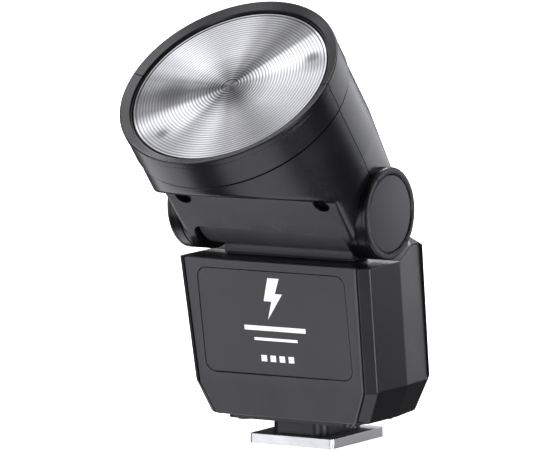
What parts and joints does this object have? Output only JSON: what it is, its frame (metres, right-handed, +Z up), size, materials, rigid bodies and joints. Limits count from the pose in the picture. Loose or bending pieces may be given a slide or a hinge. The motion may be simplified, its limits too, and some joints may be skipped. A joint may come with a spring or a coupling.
{
  "type": "speedlight flash",
  "caption": "Compact round-head speedlight flash with a tilting head, Fresnel lens, creased body, rear dial, display and buttons, and a shoe foot with sprung contacts.",
  "frame": {"origin": "centre of the shoe foot's lower face", "axes": "+Z up out of the shoe, -Y towards the front of the flash, +X to the right seen from the front"},
  "size_m": [0.044, 0.059, 0.0842],
  "materials": {
    "front_plate": "satin, fine grain",
    "label": "smooth satin",
    "body_shell": "fine grain",
    "head_shell": "fine grain, satin",
    "black_plastic": "satin",
    "rubber_key": "matt",
    "test_key": "translucent",
    "silver_key": "satin",
    "foot_metal": "satin",
    "steel": "satin",
    "screw_metal": "black zinc",
    "contact_gold": "bright",
    "lens_clear": "moulded prism rings",
    "bowl_metal": "mirror polished",
    "tube_glass": "clear",
    "silicone": "matt",
    "board_green": "solder mask",
    "pack_blue": "film wrap",
    "wire_red": "sheath",
    "copper_coil": "enamelled wire",
    "display_black": "polished",
    "display_grey": "matt film",
    "bush_nylon": "natural"
  },
  "bodies": {
    "body": {"front_cover": "front_plate", "label_panel": "label", "main_housing": "body_shell", "rear_cover": "body_shell", "display_window": "display_black", "display_module": "display_grey", "control_board": "board_green", "main_board": "board_green", "battery_pack": "pack_blue", "main_capacitor": "display_black", "transformer": "copper_coil", "usb_socket": "steel", "dial_encoder": "steel", "tact_switches": "steel", "base_plate": "body_shell", "foot_stem": "black_plastic", "foot_plate": "foot_metal", "contact_block": "black_plastic", "contact_board": "board_green", "foot_screws": "steel", "base_screws": "screw_metal", "cover_screws": "screw_metal", "neck_screws": "screw_metal", "neck_block": "black_plastic", "hinge_axles": "steel", "friction_washers": "steel", "axle_clips": "steel", "hinge_harness": "wire_red", "centre_spring": "steel", "signal_spring_1": "steel", "signal_spring_2": "steel", "signal_spring_3": "steel", "signal_spring_4": "steel"},
    "head": {"head_lower_shell": "head_shell", "head_upper_shell": "head_shell", "fresnel_lens": "lens_clear", "lens_retainer": "black_plastic", "reflector": "bowl_metal", "flash_tube": "tube_glass", "tube_sleeves": "silicone", "tube_leads": "wire_red", "trigger_board": "board_green", "trigger_coil": "copper_coil", "pivot_bushes": "bush_nylon", "left_pivot_cap": "head_shell", "right_pivot_cap": "head_shell", "head_screws": "screw_metal"},
    "control_dial": {"control_dial": "rubber_key"},
    "set_button": {"set_button": "silver_key"},
    "mode_button": {"mode_button": "rubber_key"},
    "sync_button": {"sync_button": "rubber_key"},
    "test_button": {"test_button": "test_key"},
    "power_switch": {"power_switch": "black_plastic"},
    "centre_pin": {"centre_pin": "contact_gold"},
    "signal_pin_1": {"signal_pin_1": "contact_gold"},
    "signal_pin_2": {"signal_pin_2": "contact_gold"},
    "signal_pin_3": {"signal_pin_3": "contact_gold"},
    "signal_pin_4": {"signal_pin_4": "contact_gold"}
  },
  "joints": [
    {"name": "head_tilt", "type": "hinge", "parent": "body", "child": "head", "pos_m": [0, -0.00809, 0.04476], "axis": [-1, 0, 0], "range_deg": [-51.4, 38.6]},
    {"name": "dial_turn", "type": "hinge", "parent": "body", "child": "control_dial", "pos_m": [0.0074, 0.0108, 0.01802], "axis": [0, 0.9898, 0.1426], "continuous": true},
    {"name": "set_button_press", "type": "slide", "parent": "body", "child": "set_button", "axis": [0, -0.9898, -0.1426], "range_m": [0, 0.0005], "stiffness_N_per_m": 300, "springref_m": -0.001},
    {"name": "mode_button_press", "type": "slide", "parent": "body", "child": "mode_button", "axis": [0, -0.9898, -0.1426], "range_m": [0, 0.0005], "stiffness_N_per_m": 300, "springref_m": -0.001},
    {"name": "sync_button_press", "type": "slide", "parent": "body", "child": "sync_button", "axis": [0, -0.9898, -0.1426], "range_m": [0, 0.0005], "stiffness_N_per_m": 300, "springref_m": -0.001},
    {"name": "test_button_press", "type": "slide", "parent": "body", "child": "test_button", "axis": [0, -0.9898, -0.1426], "range_m": [0, 0.0005], "stiffness_N_per_m": 300, "springref_m": -0.001},
    {"name": "power_slide", "type": "slide", "parent": "body", "child": "power_switch", "axis": [1, 0, 0], "range_m": [0, 0.0024]},
    {"name": "centre_pin_press", "type": "slide", "parent": "body", "child": "centre_pin", "axis": [0, 0, 1], "range_m": [0, 0.0005], "stiffness_N_per_m": 200, "springref_m": -0.001, "deforming": ["centre_spring"]},
    {"name": "signal_pin_1_press", "type": "slide", "parent": "body", "child": "signal_pin_1", "axis": [0, 0, 1], "range_m": [0, 0.0005], "stiffness_N_per_m": 120, "springref_m": -0.001, "deforming": ["signal_spring_1"]},
    {"name": "signal_pin_2_press", "type": "slide", "parent": "body", "child": "signal_pin_2", "axis": [0, 0, 1], "range_m": [0, 0.0005], "stiffness_N_per_m": 120, "springref_m": -0.001, "deforming": ["signal_spring_2"]},
    {"name": "signal_pin_3_press", "type": "slide", "parent": "body", "child": "signal_pin_3", "axis": [0, 0, 1], "range_m": [0, 0.0005], "stiffness_N_per_m": 120, "springref_m": -0.001, "deforming": ["signal_spring_3"]},
    {"name": "signal_pin_4_press", "type": "slide", "parent": "body", "child": "signal_pin_4", "axis": [0, 0, 1], "range_m": [0, 0.0005], "stiffness_N_per_m": 120, "springref_m": -0.001, "deforming": ["signal_spring_4"]}
  ]
}
